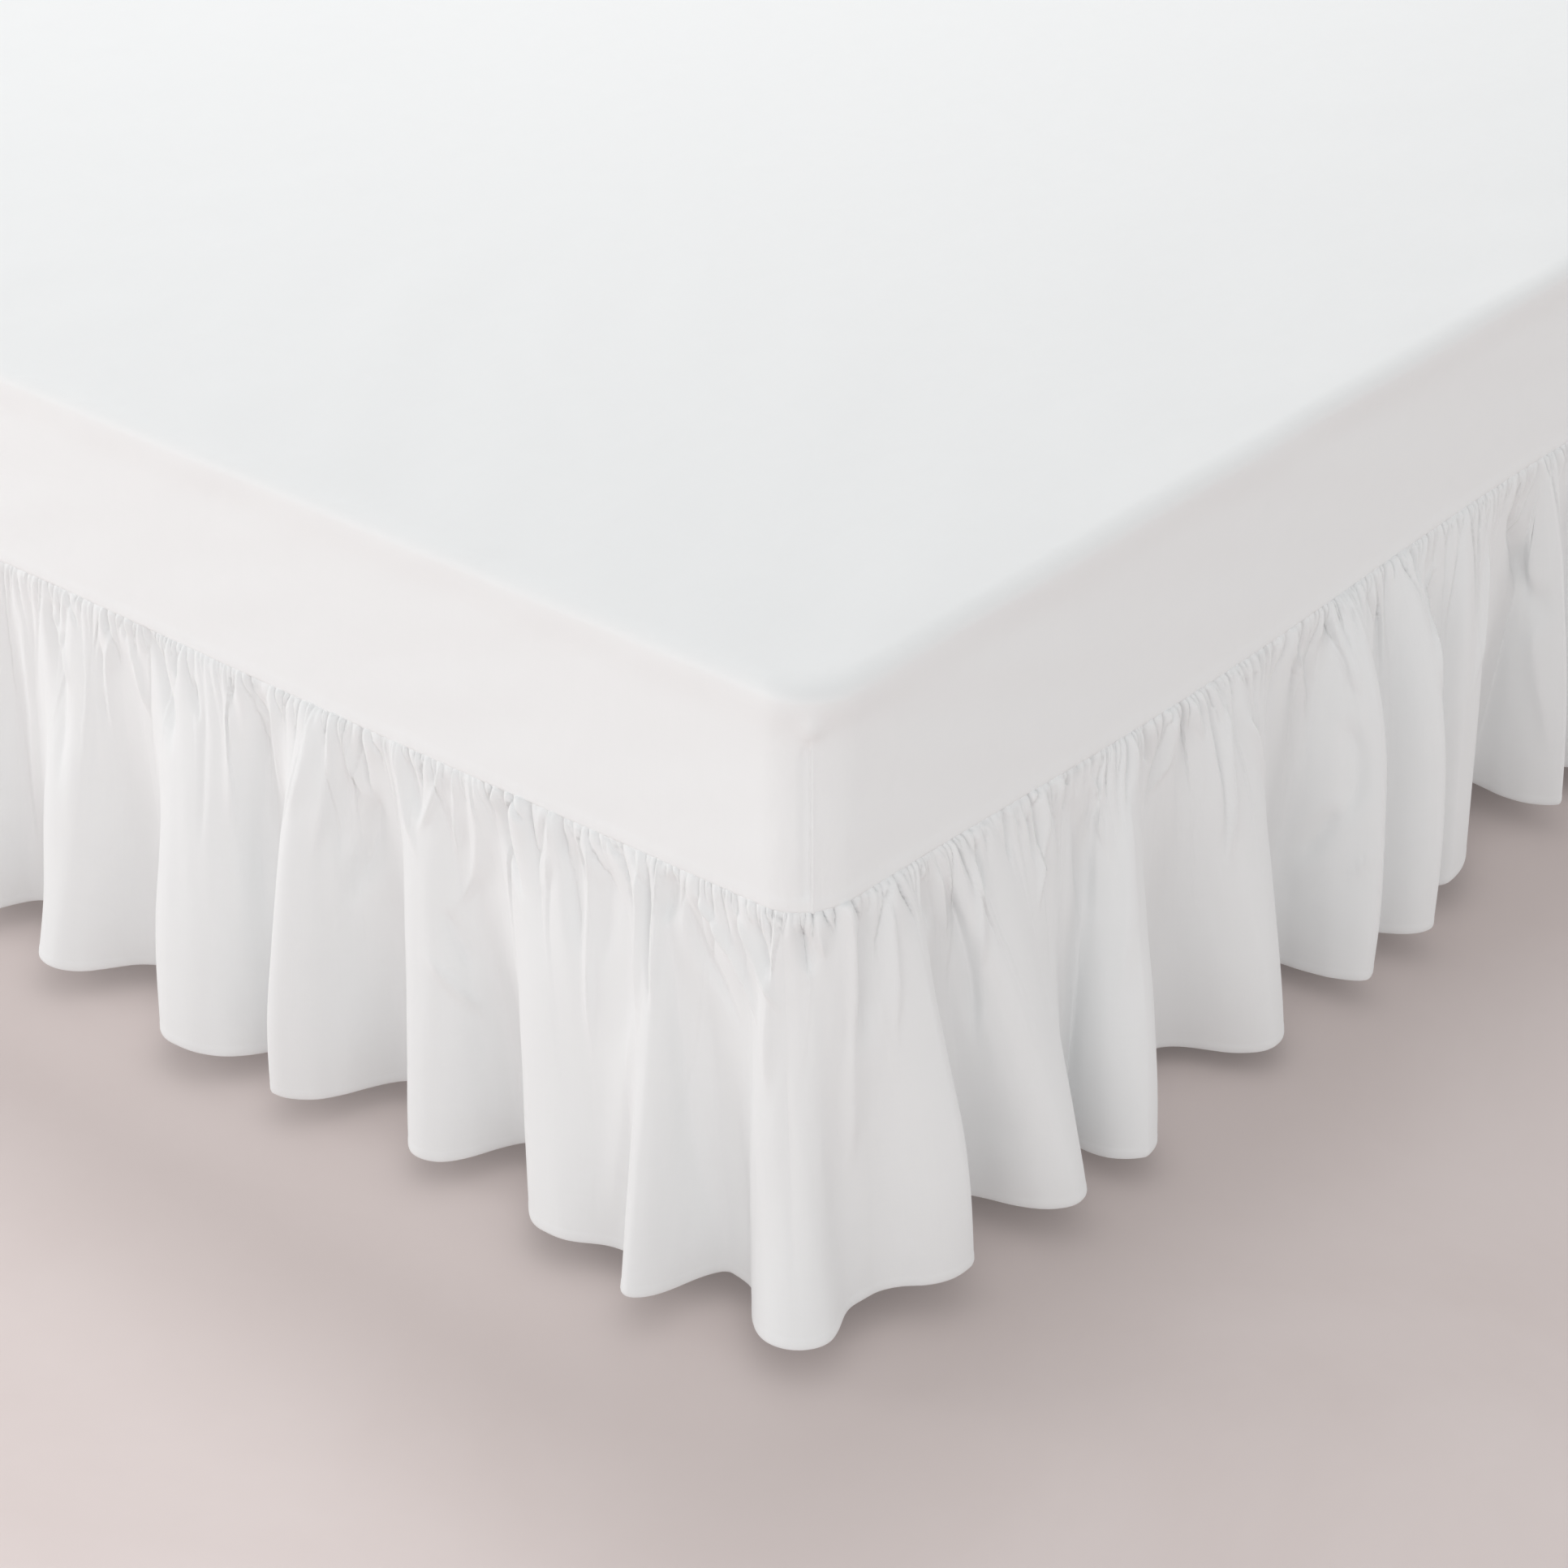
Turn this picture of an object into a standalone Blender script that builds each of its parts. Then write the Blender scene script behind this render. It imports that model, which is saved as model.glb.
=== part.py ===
"""A fitted bed skirt on the mattress and base that it covers.

The cover is one cloth that lies over the mattress and falls down its sides.
A gathered frill, sewn from four widths of cloth, hangs from the cover's lower
edge along both sides and the foot. +X is the right side, -Y the foot, +Z up,
and the floor is at Z = 0. Metres throughout.
"""

import math
import random

import bmesh
import bpy

# Mattress and the cover that fits it
MATTRESS_WIDTH = 1.80
MATTRESS_LENGTH = 2.00
COVER_HEIGHT = 0.205
CORNER_RADIUS = 0.05
CORNER_SPREAD = 0.6
EDGE_RADIUS = 0.027
EDGE_ANGLES = (25, 50, 72)
CLOTH = 0.002
GAP = 0.0003
CLEARANCE = 0.002
WALL_HOLLOW = 0.003
WALL_HOLLOW_HEIGHT = 0.14
MATTRESS_UNDER_ROUND = 0.02

# The top swells towards its middle: how much in all, and how far in from the
# edge it begins, has mostly risen, and is flat
CROWN = 0.004
CROWN_BEGINS = 0.034
CROWN_RISEN = 0.16
CROWN_LEFT = 0.4
CROWN_FLAT = 0.42

# Heights above the floor
SEAM_HEIGHT = 0.400
MATTRESS_UNDERSIDE = 0.405
FOOT_HEIGHT = 0.060

# Base, which stands back from the mattress on every side
BASE_INSET = 0.052
FOOT_RADIUS = 0.03
FOOT_TIP_RADIUS = 0.024
FOOT_INSET = 0.14
FOOT_ROWS = 3

# Frill
FRILL_DROP = 0.378
HEADING = 0.014
WIDTH_COUNT = 4
JOIN_FLAT = 0.003
COLUMNS_PER_FLANK = 4
PUCKER = 0.0035
PUCKER_DEPTH = 0.09
PUFF = 0.003
STEEPEST_REACH = 0.8
FLARE_POWER = 1.7
TUCK_POWER = 1.3
LEAN_POWER = 0.8
FLANK_STEEPNESS = 0.3

# The seam between cover and frill rises and falls a little along each side
SIDE_WAVE = 0.0065
FOOT_WAVE = 0.0015
WAVE_LENGTH = 1.05

# The frill reaches past the foot and not past the head, so the bed sits this
# far towards +Y and the whole is centred on the origin.
FOOT_REACH = 0.080
BED_SHIFT = FOOT_REACH / 2

HEADING_SET = -(CLOTH + GAP + CLOTH / 2)
HALF_WIDTH = MATTRESS_WIDTH / 2
HALF_LENGTH = MATTRESS_LENGTH / 2
ARC = CORNER_RADIUS * math.pi / 2
SIDE_RUN = MATTRESS_LENGTH - 2 * CORNER_RADIUS
FOOT_RUN = MATTRESS_WIDTH - 2 * CORNER_RADIUS

# Frill depths below the seam at which the folds are worked out, top to bottom.
# The first is the heading, which is turned up inside the cover.
ROW_DEPTHS = (-HEADING, 0.0014, 0.014, 0.05, 0.125, 0.24, FRILL_DROP)

# The folds round the right foot corner, in millimetres, from the foot to the
# right side. Distances run along the frill from the corner, less than 0 on the
# foot. seam: where the fold starts; hem: where its crest reaches the hem;
# out: how far the crest stands out; valley, back: the hollow that follows it.
# rise, fall: the shape of the slopes before and after the crest, 1 where they
# are even, less for a late steep rise, and more for a broad crest that falls late.
CORNER_FOLDS = (
    # seam    hem  out  rise  fall  valley back
    (-1010, -1020, 62, 1.0, 1.0, -965, -10),
    (-895, -876, 66, 1.0, 1.0, -785, -8),
    (-755, -685, 82, 1.0, 2.2, -602, -5),
    (-548, -556, 75, 0.9, 1.1, -470, -32),
    (-450, -397, 56, 1.0, 1.3, -332, -27),
    (-322, -238, 64, 1.0, 1.0, -154, 38),
    (-186, -123, 89, 1.0, 1.3, -73, 3),
    (-62, -9, 74, 0.55, 0.9, 28, 27),
    (92, 114, 68, 1.1, 1.0, 179, -15),
    (196, 246, 84, 1.0, 1.0, 330, 2),
    (395, 345, 85, 1.0, 1.0, 459, -20),
    (525, 564, 74, 0.65, 1.0, 676, -25),
    (735, 706, 83, 0.9, 1.0, 764, 22),
    (840, 814, 83, 1.0, 1.0, 862, 8),
    (935, 904, 47, 1.0, 1.0, 1082, -40),
    (1098, 1101, 57, 1.0, 1.0, 1150, -14),
)

# Folds elsewhere follow these ranges, in millimetres
PITCH_RANGE = (118, 186)
CREST_RANGE = (54, 80)
VALLEY_RANGE = (-32, 12)
LEAN_RANGE = (-45, 45)
SHAPE_RANGE = (0.75, 1.5)
VALLEY_PLACE = 0.52
FOLD_SEED = 11


def clear_scene():
    for obj in list(bpy.data.objects):
        bpy.data.objects.remove(obj)


def material(name, colour, roughness):
    made = bpy.data.materials.new(name)
    made.use_nodes = True
    shader = made.node_tree.nodes["Principled BSDF"]
    shader.inputs["Base Color"].default_value = (*colour, 1)
    shader.inputs["Roughness"].default_value = roughness
    return made


def mesh_object(name, mesh, finish, smooth_angle=50):
    obj = bpy.data.objects.new(name, mesh)
    bpy.context.scene.collection.objects.link(obj)
    mesh.materials.append(finish)
    mesh.shade_smooth()
    mesh.set_sharp_from_angle(angle=math.radians(smooth_angle))
    return obj


def mesh_from(bm, name):
    bmesh.ops.recalc_face_normals(bm, faces=bm.faces)
    mesh = bpy.data.meshes.new(name)
    bm.to_mesh(mesh)
    bm.free()
    return mesh


def edge_line(along):
    """The cover's outer edge in plan, as (x, y, normal x, normal y).

    along is 0 in the middle of the right foot corner, greater along the right
    side, and less along the foot and up the left side.
    """
    turned = along + ARC / 2
    mirrored = False
    if turned < -FOOT_RUN / 2:
        turned = -FOOT_RUN - turned
        mirrored = True
    if turned < 0:
        x, y, nx, ny = HALF_WIDTH - CORNER_RADIUS + turned, -HALF_LENGTH, 0.0, -1.0
    elif turned < ARC:
        angle = turned / CORNER_RADIUS
        nx, ny = math.sin(angle), -math.cos(angle)
        x = HALF_WIDTH - CORNER_RADIUS + CORNER_RADIUS * nx
        y = -HALF_LENGTH + CORNER_RADIUS + CORNER_RADIUS * ny
    else:
        x, y, nx, ny = HALF_WIDTH, -HALF_LENGTH + CORNER_RADIUS + turned - ARC, 1.0, 0.0
    return (-x, y, -nx, ny) if mirrored else (x, y, nx, ny)


def seam_wave(x, y, nx):
    """How far the frill's seam lies above its usual height at a point of the edge."""
    swing = FOOT_WAVE + (SIDE_WAVE - FOOT_WAVE) * nx * nx
    from_corner = (HALF_WIDTH - abs(x)) + (y + HALF_LENGTH)
    return swing * math.cos(2 * math.pi * from_corner / WAVE_LENGTH)


def outline(inset, radius, corner_steps=10, side_steps=16):
    """A closed rounded rectangle inside the cover's edge, as (x, y, normal x, normal y)."""
    half_w, half_l = HALF_WIDTH - inset, HALF_LENGTH - inset
    centres = ((1, -1, -90), (1, 1, 0), (-1, 1, 90), (-1, -1, 180))
    corners = []
    for sign_x, sign_y, start in centres:
        arc = []
        for step in range(corner_steps + 1):
            angle = math.radians(start + 90 * step / corner_steps)
            nx, ny = math.cos(angle), math.sin(angle)
            arc.append((
                sign_x * (half_w - radius) + radius * nx,
                sign_y * (half_l - radius) + radius * ny,
                nx,
                ny,
            ))
        corners.append(arc)
    points = []
    for here, following in zip(corners, corners[1:] + corners[:1]):
        points += here
        x0, y0, nx, ny = here[-1]
        x1, y1 = following[0][:2]
        for step in range(1, side_steps):
            share = step / side_steps
            points.append((x0 + (x1 - x0) * share, y0 + (y1 - y0) * share, nx, ny))
    return points


def lofted(rings, cap_first, cap_last):
    """A skin over closed rings of points, given from the lowest ring up."""
    bm = bmesh.new()
    loops = [[bm.verts.new(point) for point in ring] for ring in rings]
    for lower, upper in zip(loops, loops[1:]):
        count = len(lower)
        for k in range(count):
            j = (k + 1) % count
            bm.faces.new((lower[k], lower[j], upper[j], upper[k]))
    if cap_first:
        bm.faces.new(list(reversed(loops[0])))
    if cap_last:
        bm.faces.new(loops[-1])
    return bm


def top_profile(side, top, ease):
    """From the top of a wall over its rounded edge to the flat, as (inset, height).

    ease is how much lower the edge and the crown are than those of a top that
    fits this one closely.
    """
    rim = top - CROWN - ease
    profile = [(side, top - CROWN - EDGE_RADIUS)]
    for degrees in EDGE_ANGLES:
        angle = math.radians(degrees)
        profile.append((
            side + EDGE_RADIUS * (1 - math.cos(angle)),
            rim - EDGE_RADIUS * (1 - math.sin(angle)),
        ))
    profile += [
        (side + CROWN_BEGINS, rim),
        (CROWN_RISEN, top - CROWN_LEFT * CROWN - ease),
        (CROWN_FLAT + ease, top),
    ]
    return profile


def make_cover(finish):
    """The cover, with a wall that runs hollow between its seam and its rounded top edge."""
    profile = [(0.0, 0.0), (0.0, 1.3 * HEADING), (WALL_HOLLOW, WALL_HOLLOW_HEIGHT)]
    profile += top_profile(0.0, COVER_HEIGHT, 0.0)
    rings = []
    for inset, height in profile:
        settle = max(0.0, 1 - height / (COVER_HEIGHT - EDGE_RADIUS))
        rings.append([
            (x, y + BED_SHIFT, SEAM_HEIGHT + height + settle * seam_wave(x, y, nx))
            for x, y, nx, ny in outline(inset, CORNER_RADIUS + CORNER_SPREAD * inset)
        ])
    cover = mesh_object("fitted_cover", mesh_from(lofted(rings, False, True), "fitted_cover"), finish)
    thickness = cover.modifiers.new("cloth thickness", "SOLIDIFY")
    thickness.thickness = CLOTH
    thickness.offset = -1


def plain_rings(profile):
    """Level rings of a filled piece, from its profile of (inset, height above the floor)."""
    rings = []
    for inset, height in profile:
        radius = CORNER_RADIUS + CORNER_SPREAD * inset
        rings.append([(x, y + BED_SHIFT, height) for x, y, nx, ny in outline(inset, radius, 4, 1)])
    return rings


def make_mattress(finish):
    """The mattress fills the cover, with room at its sides for the frill's heading."""
    side = CLOTH + GAP + CLOTH + CLEARANCE
    profile = [
        (side + MATTRESS_UNDER_ROUND, MATTRESS_UNDERSIDE),
        (side + 0.3 * MATTRESS_UNDER_ROUND, MATTRESS_UNDERSIDE + 0.3 * MATTRESS_UNDER_ROUND),
        (side, MATTRESS_UNDERSIDE + MATTRESS_UNDER_ROUND),
        (side + WALL_HOLLOW, SEAM_HEIGHT + WALL_HOLLOW_HEIGHT),
    ]
    profile += top_profile(side, SEAM_HEIGHT + COVER_HEIGHT - CLOTH - GAP, CLEARANCE)
    mesh_object("mattress", mesh_from(lofted(plain_rings(profile), True, True), "mattress"), finish)


def make_base(finish):
    rings = plain_rings([(BASE_INSET, FOOT_HEIGHT), (BASE_INSET, MATTRESS_UNDERSIDE - GAP)])
    mesh_object("base", mesh_from(lofted(rings, True, True), "base"), finish, 30)


def make_feet(finish):
    height = FOOT_HEIGHT - GAP
    run = 2 * (HALF_LENGTH - FOOT_INSET)
    for number in range(2 * FOOT_ROWS):
        name = f"foot_{number + 1}"
        side = 1 if number % 2 else -1
        row = number // 2
        bm = bmesh.new()
        bmesh.ops.create_cone(
            bm, cap_ends=True, segments=24, radius1=FOOT_TIP_RADIUS, radius2=FOOT_RADIUS, depth=height
        )
        foot = mesh_object(name, mesh_from(bm, name), finish, 30)
        foot.location = (
            side * (HALF_WIDTH - FOOT_INSET),
            -HALF_LENGTH + FOOT_INSET + run * row / (FOOT_ROWS - 1) + BED_SHIFT,
            height / 2,
        )


def frill_ends():
    """Where the frill starts and stops: beside each head corner."""
    right = ARC / 2 + SIDE_RUN
    left = -(ARC / 2 + FOOT_RUN + ARC + SIDE_RUN)
    return left, right


def further_folds(start, stop, rng):
    """Fold rows, in millimetres, between two distances along the frill."""
    rows = []
    length = stop - start
    count = max(1, round(length / (sum(PITCH_RANGE) / 2)))
    pitches = [rng.uniform(*PITCH_RANGE) for _ in range(count)]
    stretch = length / sum(pitches)
    at = start
    for pitch in pitches:
        pitch *= stretch
        hem = at + (1 - VALLEY_PLACE) * pitch
        rows.append((
            hem + rng.uniform(*LEAN_RANGE),
            hem,
            rng.uniform(*CREST_RANGE),
            rng.uniform(*SHAPE_RANGE),
            rng.uniform(*SHAPE_RANGE),
            at + pitch,
            rng.uniform(*VALLEY_RANGE),
        ))
        at += pitch
    return rows


def fold_stations():
    """Valleys and crests along the frill, in metres, as (seam place, hem place, out, slope).

    The folds of the photographed corner stand in the middle, and the rest of
    the foot, the left side and the head end of the right side are filled in.
    """
    rng = random.Random(FOLD_SEED)
    left, right = (1000 * end for end in frill_ends())
    first = CORNER_FOLDS[0][1] - 62
    last = CORNER_FOLDS[-1][5]
    rows = further_folds(left, first, rng) + list(CORNER_FOLDS) + further_folds(last, right, rng)
    stations = [(left, left, 0.0, 1.0)]
    for index, (seam, hem, out, rise, fall, valley, back) in enumerate(rows):
        stations.append((seam, hem, out, fall))
        if index + 1 < len(rows):
            next_seam, next_hem, next_rise = (rows[index + 1][k] for k in (0, 1, 3))
            share = (valley - hem) / (next_hem - hem)
            stations.append((seam + (next_seam - seam) * share, valley, back, next_rise))
    stations.append((right, right, 0.0, 1.0))
    return [(seam / 1000, hem / 1000, out / 1000, slope) for seam, hem, out, slope in stations]


def fold_columns(stations):
    """Columns of the frill between its stations, as (seam place, hem place, out, pucker).

    The out value eases from crest to valley, and the columns crowd on the
    flanks, so that each fold is round at its crest and steep at its sides.
    """
    columns = []
    for here, following in zip(stations, stations[1:]):
        rising = following[2] > here[2]
        slope = here[3]
        for step in range(COLUMNS_PER_FLANK):
            share = step / COLUMNS_PER_FLANK
            eased = (1 - math.cos(math.pi * share)) / 2
            crowded = share + FLANK_STEEPNESS * math.sin(2 * math.pi * share) / (2 * math.pi)
            placed = crowded ** slope if rising else 1 - (1 - crowded) ** slope
            columns.append((
                here[0] + (following[0] - here[0]) * share,
                here[1] + (following[1] - here[1]) * placed,
                here[2] + (following[2] - here[2]) * eased,
                1 if len(columns) % 2 else -1,
            ))
    columns.append((*stations[-1][:3], 1))
    return columns


def frill_point(column, depth):
    """A point of the frill's middle surface, at a depth below the seam along the cloth."""
    seam_place, hem_place, out, pucker = column
    x, y, nx, ny = edge_line(seam_place)
    seam = SEAM_HEIGHT + seam_wave(x, y, nx)
    if depth < ROW_DEPTHS[2]:
        return (x + nx * HEADING_SET, y + ny * HEADING_SET + BED_SHIFT, seam - depth)
    down = depth / FRILL_DROP
    place = seam_place + (hem_place - seam_place) * down ** LEAN_POWER
    if out > 0:
        reach = out * (1 - (1 - down) ** FLARE_POWER)
    else:
        reach = out * down ** TUCK_POWER
    reach += PUFF * (1 - down) + pucker * PUCKER * max(0.0, 1 - depth / PUCKER_DEPTH)
    sunk = math.sqrt(depth * depth - min(abs(reach), STEEPEST_REACH * depth) ** 2)
    x, y, nx, ny = edge_line(place)
    return (x + nx * reach, y + ny * reach + BED_SHIFT, seam - sunk)


def moved(column, distance):
    return (column[0] + distance, column[1] + distance, *column[2:])


def make_frill_width(number, columns, finish):
    """One cut width of the frill, as a sheet of cloth with its folds."""
    name = f"frill_width_{number}"
    bm = bmesh.new()
    lines = [[bm.verts.new(frill_point(column, depth)) for depth in ROW_DEPTHS] for column in columns]
    for left_line, right_line in zip(lines, lines[1:]):
        for row in range(len(ROW_DEPTHS) - 1):
            bm.faces.new((
                left_line[row],
                left_line[row + 1],
                right_line[row + 1],
                right_line[row],
            ))
    mesh = bpy.data.meshes.new(name)
    bm.to_mesh(mesh)
    bm.free()
    width = mesh_object(name, mesh, finish)
    thickness = width.modifiers.new("cloth thickness", "SOLIDIFY")
    thickness.thickness = CLOTH
    thickness.offset = 0


def make_frill(finish):
    """The frill's widths, joined where a hollow hides the seam."""
    stations = fold_stations()
    left, right = frill_ends()
    hollows = range(2, len(stations) - 2, 2)
    joins = []
    for number in range(1, WIDTH_COUNT):
        wanted = left + (right - left) * number / WIDTH_COUNT
        joins.append(min(hollows, key=lambda index: abs(stations[index][1] - wanted)))
    bounds = [0, *joins, len(stations) - 1]
    for number, (start, stop) in enumerate(zip(bounds, bounds[1:]), 1):
        columns = fold_columns(stations[start : stop + 1])
        if number > 1:
            columns[:1] = [moved(columns[0], GAP / 2), moved(columns[0], GAP / 2 + JOIN_FLAT)]
        if number < WIDTH_COUNT:
            columns[-1:] = [moved(columns[-1], -GAP / 2 - JOIN_FLAT), moved(columns[-1], -GAP / 2)]
        make_frill_width(number, columns, finish)


def main():
    clear_scene()
    cotton = material("white cotton", (0.86, 0.86, 0.86), 0.85)
    ticking = material("mattress ticking", (0.80, 0.79, 0.76), 0.9)
    base_cloth = material("base cloth", (0.62, 0.60, 0.57), 0.9)
    glide = material("foot plastic", (0.06, 0.06, 0.06), 0.5)
    make_cover(cotton)
    make_frill(cotton)
    make_mattress(ticking)
    make_base(base_cloth)
    make_feet(glide)


main()
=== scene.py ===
import math
import random

import bpy
import numpy as np
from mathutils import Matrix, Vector


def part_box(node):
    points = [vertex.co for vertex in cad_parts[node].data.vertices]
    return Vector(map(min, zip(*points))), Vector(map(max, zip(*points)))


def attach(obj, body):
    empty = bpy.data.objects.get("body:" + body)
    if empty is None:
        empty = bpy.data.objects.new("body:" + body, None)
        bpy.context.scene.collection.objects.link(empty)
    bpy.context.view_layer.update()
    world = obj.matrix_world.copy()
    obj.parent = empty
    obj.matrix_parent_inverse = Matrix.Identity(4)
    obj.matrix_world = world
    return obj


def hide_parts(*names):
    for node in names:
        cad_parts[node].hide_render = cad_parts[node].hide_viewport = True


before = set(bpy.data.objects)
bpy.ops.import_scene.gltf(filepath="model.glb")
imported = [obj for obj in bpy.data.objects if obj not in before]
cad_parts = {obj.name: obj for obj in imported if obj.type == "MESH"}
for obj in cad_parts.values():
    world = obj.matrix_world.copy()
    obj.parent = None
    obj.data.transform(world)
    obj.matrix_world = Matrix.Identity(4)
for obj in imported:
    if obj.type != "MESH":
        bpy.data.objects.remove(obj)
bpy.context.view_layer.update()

# A fitted bed skirt of white percale with a gathered frill, on its mattress and base.
# Everything is in metres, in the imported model's frame: the foot faces -Y, the right side +X.

bpy.ops.object.select_all(action="DESELECT")

coverLow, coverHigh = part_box("fitted_cover")
bed = {
    "halfWidth": coverHigh[0],
    "footY": coverLow[1],
    "headY": coverHigh[1],
    "top": coverHigh[2],
    "coverHeight": 0.205,
    "corner": 0.05,  # radius of the mattress corner in plan
    "sideWave": 0.0065,  # how far the seam wanders up and down a side
    "footWave": 0.0015,
    "waveLength": 1.05,
}
bed["seam"] = bed["top"] - bed["coverHeight"]
bed["arc"] = bed["corner"] * math.pi / 2
bed["footRun"] = 2 * bed["halfWidth"] - 2 * bed["corner"]
bed["sideRun"] = bed["headY"] - bed["footY"] - 2 * bed["corner"]
mm = 0.001


# Shared helpers

def seamWave(x, y, nx):
    swing = bed["footWave"] + (bed["sideWave"] - bed["footWave"]) * nx * nx
    fromCorner = (bed["halfWidth"] - np.abs(x)) + (y - bed["footY"])
    return swing * np.cos(2 * math.pi * fromCorner / bed["waveLength"])


def edgeLine(along):
    # the cover's outer edge in plan: 0 in the middle of the right foot corner,
    # + up the right side
    turned = along + bed["arc"] / 2
    mirrored = turned < -bed["footRun"] / 2
    turned = np.where(mirrored, -bed["footRun"] - turned, turned)
    angle = np.clip(turned / bed["corner"], 0, math.pi / 2)
    nx, ny = np.sin(angle), -np.cos(angle)
    x = bed["halfWidth"] - bed["corner"] + np.minimum(turned, 0) + bed["corner"] * nx
    y = bed["footY"] + bed["corner"] + np.maximum(turned - bed["arc"], 0) + bed["corner"] * ny
    flip = np.where(mirrored, -1, 1)
    return x * flip, y, nx * flip, ny


def ripples(u, v, seed, count, shortest, longest, stretch=1.0):
    # soft uneven relief between -1 and 1, made of sine waves; stretch lengthens it along v
    rng = random.Random(seed)
    total = np.zeros(np.broadcast(u, v).shape)
    for _ in range(count):
        length = math.exp(rng.uniform(math.log(shortest), math.log(longest)))
        angle = rng.uniform(0, 2 * math.pi)
        ku = 2 * math.pi / length * math.cos(angle)
        kv = 2 * math.pi / length * math.sin(angle) / stretch
        total += np.sin(ku * u + kv * v + rng.uniform(0, 2 * math.pi))
    return total / math.sqrt(count / 2) / 2


def step(value, start, stop):
    t = np.clip((value - start) / (stop - start), 0, 1)
    return t * t * (3 - 2 * t)


def clothGrid(name, points, flat):
    # a grid primitive whose points are laid on an array of (columns, rows) places,
    # with flat, the same points on the cloth before sewing, as its UV map in metres
    columns, rows = points.shape[:2]
    bpy.ops.mesh.primitive_grid_add(x_subdivisions=columns - 1, y_subdivisions=rows - 1, size=2)
    piece = bpy.context.object
    piece.name = name
    mesh = piece.data
    mesh.name = name
    start = np.empty(len(mesh.vertices) * 3)
    mesh.vertices.foreach_get("co", start)
    start = start.reshape(-1, 3)
    column = np.rint((start[:, 0] + 1) / 2 * (columns - 1)).astype(int)
    row = np.rint((start[:, 1] + 1) / 2 * (rows - 1)).astype(int)
    mesh.vertices.foreach_set("co", points[column, row].ravel())
    corner = np.empty(len(mesh.loops), dtype=int)
    mesh.loops.foreach_get("vertex_index", corner)
    mesh.uv_layers.active.name = "cloth"
    mesh.uv_layers.active.data.foreach_set("uv", flat[column, row][corner].ravel())
    mesh.update()
    bpy.ops.object.shade_smooth()
    return piece


def onWholeMesh(tool, **values):
    bpy.ops.object.mode_set(mode="EDIT")
    bpy.ops.mesh.select_all(action="SELECT")
    tool(**values)
    bpy.ops.mesh.select_all(action="DESELECT")
    bpy.ops.object.mode_set(mode="OBJECT")


def gridNormals(points):
    # outward where a grid's rows run downwards, and inward where they run upwards
    acrossColumns = np.gradient(points, axis=0)
    downRows = np.gradient(points, axis=1)
    normal = np.cross(downRows, acrossColumns)
    return normal / np.maximum(np.linalg.norm(normal, axis=2, keepdims=True), 1e-9)


# Materials

def newMaterial(name, colour, roughness):
    material = bpy.data.materials.new(name)
    material.use_nodes = True
    shader = material.node_tree.nodes["Principled BSDF"]
    shader.inputs["Base Color"].default_value = (*colour, 1)
    shader.inputs["Roughness"].default_value = roughness
    return material, shader


def addNode(material, kind, **values):
    node = material.node_tree.nodes.new(kind)
    for key, value in values.items():
        if hasattr(node, key):
            setattr(node, key, value)
        else:
            node.inputs[key.replace("_", " ")].default_value = value
    return node


def link(material, source, target):
    material.node_tree.links.new(source, target)


def mixColours(material, factor, first, second):
    mix = addNode(material, "ShaderNodeMix", data_type="RGBA")
    link(material, factor, mix.inputs[0])
    mix.inputs[6].default_value = (*first, 1)
    mix.inputs[7].default_value = (*second, 1)
    return mix.outputs[2]


def scaledCoordinates(material, source, scale):
    mapping = addNode(material, "ShaderNodeMapping")
    mapping.inputs["Scale"].default_value = scale
    link(material, source, mapping.inputs["Vector"])
    return mapping.outputs["Vector"]


def addNoise(material, source, **values):
    noise = addNode(material, "ShaderNodeTexNoise", **values)
    link(material, source, noise.inputs["Vector"])
    return noise.outputs["Fac"]


def addBump(material, shader, height, **values):
    bump = addNode(material, "ShaderNodeBump", **values)
    link(material, height, bump.inputs["Height"])
    link(material, bump.outputs["Normal"], shader.inputs["Normal"])


def threads(material, source, pitch, direction):
    # one set of parallel threads, each pitch wide; at scale 1 a band is 2 pi / 20 wide
    wave = addNode(material, "ShaderNodeTexWave", bands_direction=direction, Distortion=0.6)
    wave.inputs["Scale"].default_value = 2 * math.pi / (20 * pitch)
    wave.inputs["Detail Scale"].default_value = 1.5
    link(material, source, wave.inputs["Vector"])
    return wave.outputs["Fac"]


def combine(material, operation, first, second):
    # one step of arithmetic between two sockets or numbers
    node = addNode(material, "ShaderNodeMath", operation=operation)
    for socket, value in zip(node.inputs, (first, second)):
        if isinstance(value, (int, float)):
            socket.default_value = value
        else:
            link(material, value, socket)
    return node.outputs[0]


cottonLook = {
    "white": (0.892, 0.903, 0.906),
    # the darker tone: of thin threads, and, as painted shade, of the small creases' hollows
    "shade": (0.860, 0.871, 0.874),
    "singleWhite": (0.872, 0.883, 0.886),  # the frill, with nothing white behind it
    "singleShade": (0.840, 0.851, 0.854),
    "threadPitch": 0.0005,
    "threadHeight": 0.000012,
    "slubHeight": 0.000018,
    "crumpleHeight": 0.0007,
    "slubScale": (900.0, 14.0),  # across the streaks and along them
    "crumpleScale": 26.0,
    "toneGain": 0.34,
    "roughness": 0.86,
    "sheen": 0.12,
    "sheenRoughness": 0.5,
    "specular": 0.25,
}


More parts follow.
